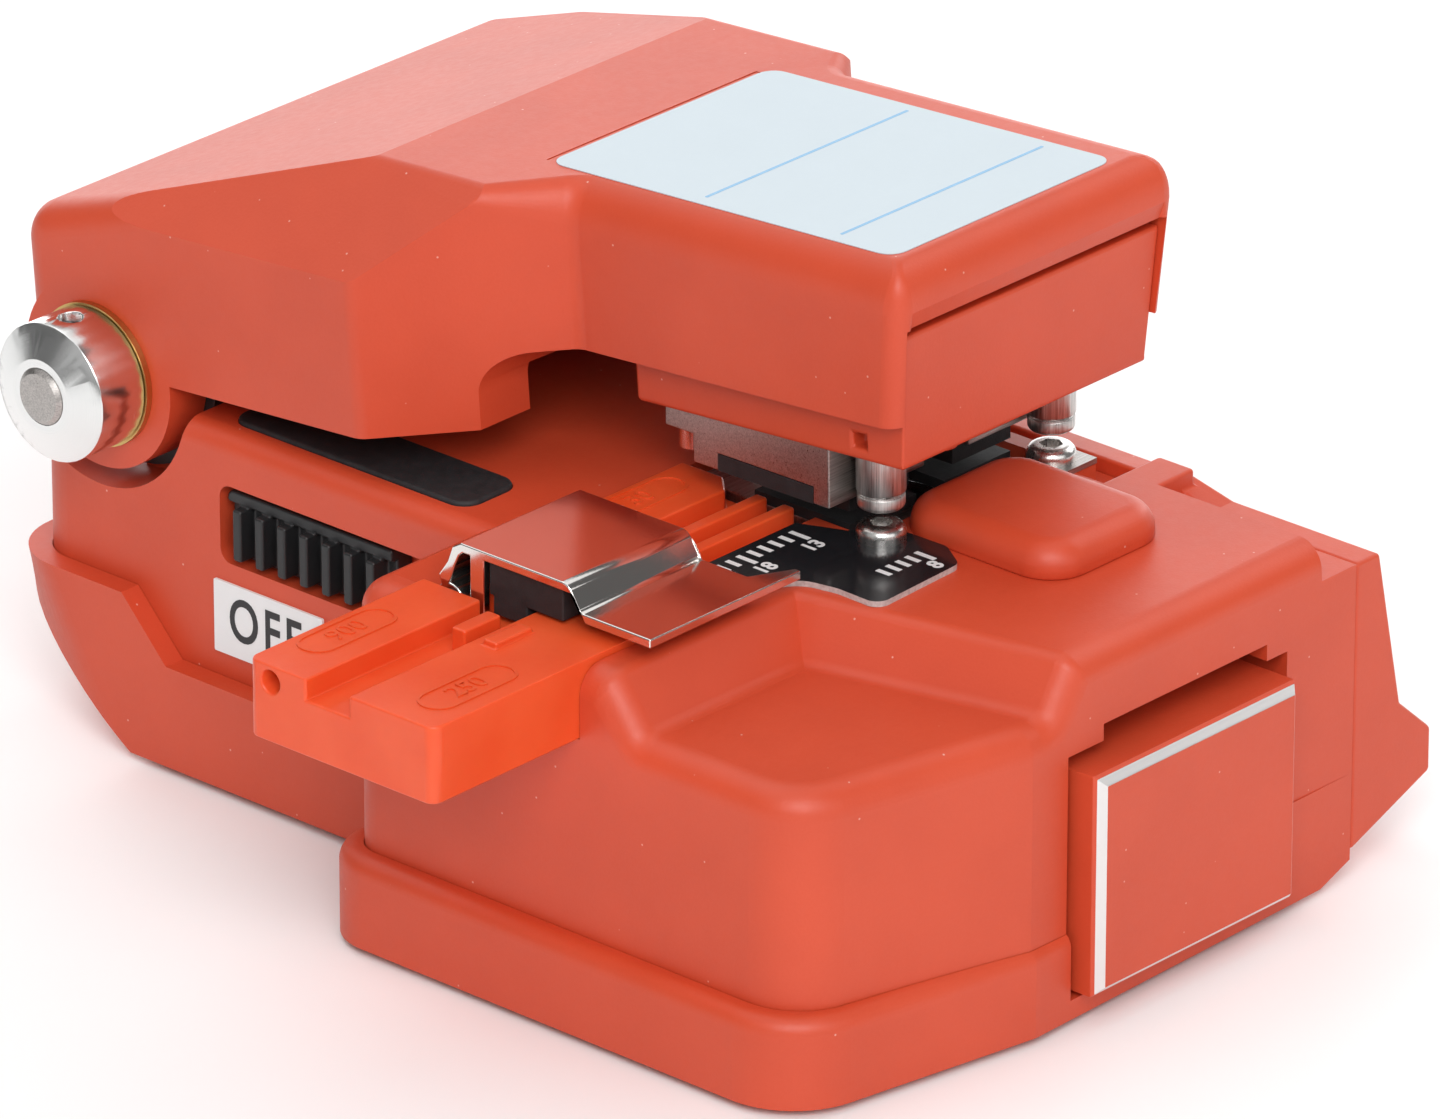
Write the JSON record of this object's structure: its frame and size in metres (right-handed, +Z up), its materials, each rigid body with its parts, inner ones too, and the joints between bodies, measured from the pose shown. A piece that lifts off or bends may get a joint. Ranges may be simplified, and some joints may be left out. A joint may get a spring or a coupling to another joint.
{
  "type": "optical fibre cleaver",
  "caption": "Bench fibre cleaver: hinged clamp lid over a push slider with a round blade, fibre adapter with hold-down leaf, length scale and scrap collector.",
  "frame": {"origin": "on the ground under the fibre line, in the middle plane of the lid", "axes": "+X to the right along the fibre, +Y away from the user towards the lid's hinge, +Z up"},
  "size_m": [0.0783, 0.0884, 0.0492],
  "materials": {
    "body_paint": "matte soft-touch orange-red paint",
    "adapter_orange": "moulded, faintly translucent",
    "nickel_sheet": "bright nickel plate",
    "ground_steel": "ground, fine straight grain",
    "bright_steel": "turned and polished",
    "blade_steel": "hard metal, lapped edge",
    "carriage_alloy": "machined",
    "washer_brass": "turned",
    "spring_wire": "drawn wire",
    "black_rubber": "matte",
    "black_plastic": "moulded",
    "scale_black": "gloss lacquer",
    "label_film": "pale smooth film"
  },
  "bodies": {
    "base": {"base_body": "body_paint", "base_tray": "body_paint", "sole_pad": "black_rubber", "tray_screws": "ground_steel", "slide_rail": "ground_steel", "lower_jaw_left": "ground_steel", "lower_pad_left": "black_rubber", "lower_jaw_right": "ground_steel", "lower_pad_right": "black_rubber", "blade_cover": "body_paint", "scale_plate": "scale_black", "shim_plate": "ground_steel", "stop_screws": "bright_steel", "deck_strip": "black_rubber", "collector_bin": "body_paint", "adapter_plate": "adapter_orange", "adapter_magnet": "bright_steel", "leaf_pin": "ground_steel", "hinge_shaft": "ground_steel", "shaft_collars": "bright_steel", "collar_screws": "ground_steel", "thrust_washers": "washer_brass", "lid_spring": "spring_wire", "return_spring": "spring_wire"},
    "lid": {"lid_shell": "body_paint", "hinge_spacers": "black_plastic", "lid_label": "label_film", "clamp_block": "body_paint", "upper_clamp_left": "ground_steel", "upper_pad_left": "black_rubber", "upper_clamp_right": "ground_steel", "upper_pad_right": "black_rubber", "anvil": "ground_steel", "stop_posts": "bright_steel", "clamp_pins": "bright_steel"},
    "slider": {"slider_cap": "body_paint", "slider_carriage": "carriage_alloy", "blade_axle": "ground_steel"},
    "blade": {"blade_wheel": "blade_steel"},
    "lock": {"lock_slide": "black_plastic"},
    "leaf": {"clamp_leaf": "nickel_sheet", "leaf_pad": "black_rubber"}
  },
  "joints": [
    {"name": "lid_hinge", "type": "hinge", "parent": "base", "child": "lid", "pos_m": [0, 0.0465, 0.02705], "axis": [-1, 0, 0], "range_deg": [-0.8, 75], "stiffness_Nm_per_rad": 0.03, "springref_deg": 45.84, "deforming": ["lid_spring"]},
    {"name": "slider_push", "type": "slide", "parent": "base", "child": "slider", "axis": [0, 1, 0], "range_m": [0, 0.012], "stiffness_N_per_m": 80, "springref_m": -0.005, "deforming": ["return_spring"]},
    {"name": "blade_turn", "type": "hinge", "parent": "slider", "child": "blade", "pos_m": [0.0013, -0.006, 0.0172], "axis": [1, 0, 0], "continuous": true},
    {"name": "lock_move", "type": "slide", "parent": "base", "child": "lock", "axis": [0, -1, 0], "range_m": [0, 0.0055]},
    {"name": "leaf_hinge", "type": "hinge", "parent": "base", "child": "leaf", "pos_m": [-0.0262, 0.0062, 0.0253], "axis": [-1, 0, 0], "range_deg": [0, 90]}
  ]
}
